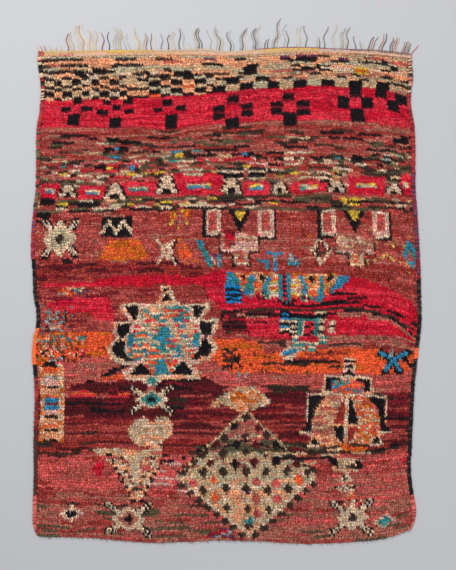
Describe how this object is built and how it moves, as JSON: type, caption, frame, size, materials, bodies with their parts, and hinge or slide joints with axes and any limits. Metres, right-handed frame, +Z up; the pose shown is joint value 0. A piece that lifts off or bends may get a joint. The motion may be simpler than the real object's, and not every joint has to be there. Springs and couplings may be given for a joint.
{
  "type": "boujad rug",
  "caption": "Hand-knotted wool pile rug lying flat, with uneven edges, overcast side cords and loose warp ends along one end.",
  "frame": {"origin": "middle of the rug's plan, fringe included, on the floor under it", "axes": "+X across the rug, +Y along it towards the fringed heading, +Z up out of the pile"},
  "size_m": [1.6398, 2.2048, 0.0113],
  "materials": {
    "pile": "worn knotted wool pile, madder red with many coloured knots",
    "overcast": "dark goat hair and wool wrapped round the side warps",
    "heading": "flat-woven cream, yellow and pink wool with twisted warp ends"
  },
  "bodies": {
    "root": {"rug_field": "pile", "side_cord_left": "overcast", "side_cord_right": "overcast", "fringed_heading": "heading"}
  },
  "joints": []
}
